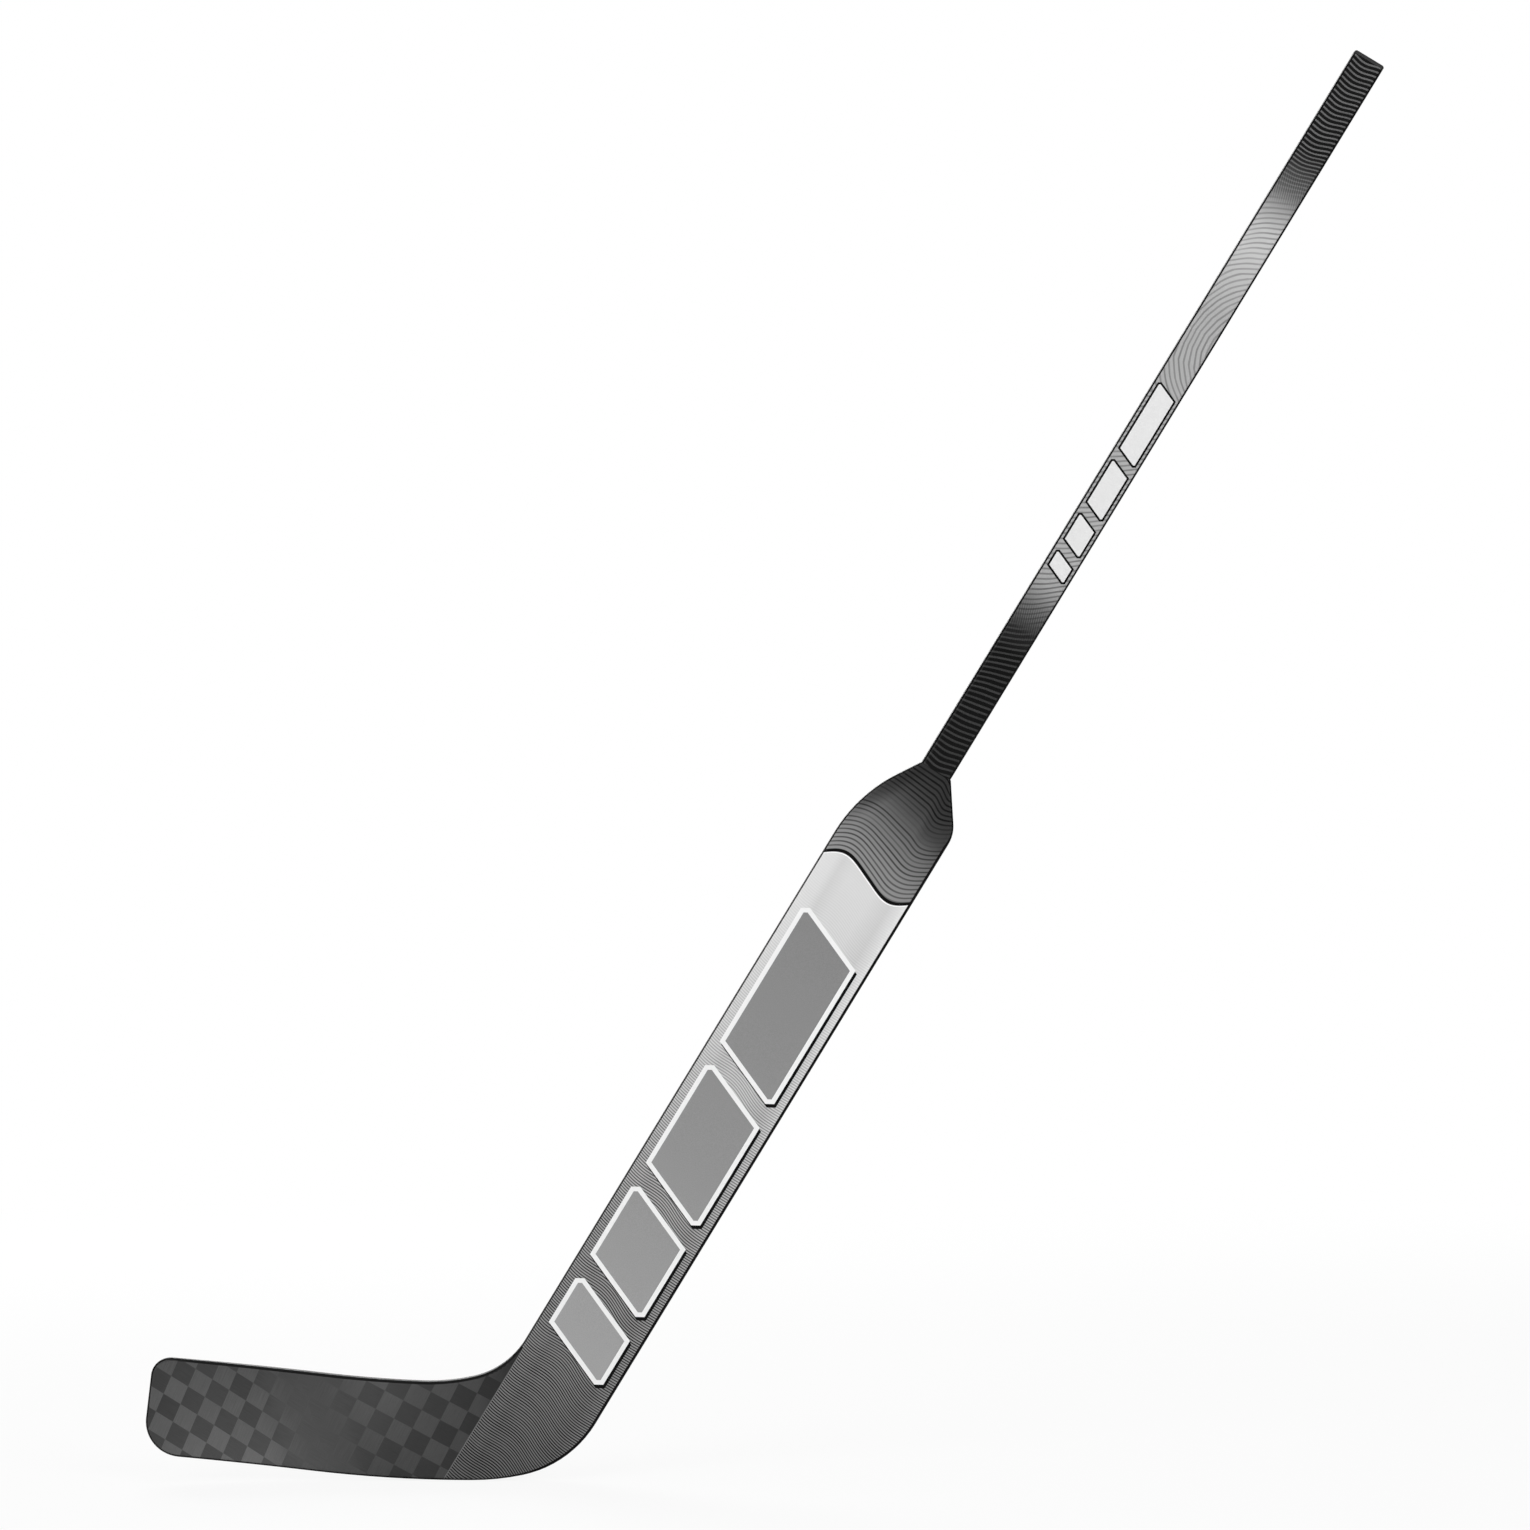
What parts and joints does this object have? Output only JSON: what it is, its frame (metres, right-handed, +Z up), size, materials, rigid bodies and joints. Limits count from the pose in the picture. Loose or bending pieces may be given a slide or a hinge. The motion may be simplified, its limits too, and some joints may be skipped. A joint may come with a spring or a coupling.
{
  "type": "hockey goalie stick",
  "caption": "Ice hockey goalkeeper's stick with a slim square handle, a broad flat paddle and a curved blade laid over foam cores.",
  "frame": {"origin": "centre of the handle's section at the lower hand's grip, 60 mm above the paddle's shoulder", "axes": "+Z up with the sole on the ice, +X from toe to heel and up the handle's lean, -Y the puck side of the blade"},
  "size_m": [1.0604, 0.0352, 1.227],
  "materials": {
    "end_cap": "moulded matte black",
    "handle_laminate": "clear-coated carbon laminate, fading from black to light grey, with fine wavy lines",
    "paddle_laminate": "clear-coated laminate, fading from near white to dark grey, with fine wavy lines",
    "edge_laminate": "clear-coated black laminate edge",
    "blade_laminate": "clear-coated charcoal carbon with a large checker weave",
    "blade_edge": "clear-coated black laminate edge",
    "core_foam": "rigid cell foam",
    "web_laminate": "uncoated carbon laminate"
  },
  "bodies": {
    "root": {"butt_cap": "end_cap", "handle_tube": "handle_laminate", "paddle_front_skin": "paddle_laminate", "paddle_back_skin": "paddle_laminate", "toe_side_rail": "edge_laminate", "heel_side_rail": "edge_laminate", "blade_front_skin": "blade_laminate", "blade_back_skin": "blade_laminate", "blade_edge_band": "blade_edge", "tube_bung": "core_foam", "paddle_core_toe_side": "core_foam", "paddle_core_centre": "core_foam", "paddle_core_heel_side": "core_foam", "blade_core_upper": "core_foam", "blade_core_lower": "core_foam", "paddle_web_toe_side": "web_laminate", "paddle_web_heel_side": "web_laminate", "blade_web": "web_laminate", "joint_tenon": "web_laminate"}
  },
  "joints": []
}
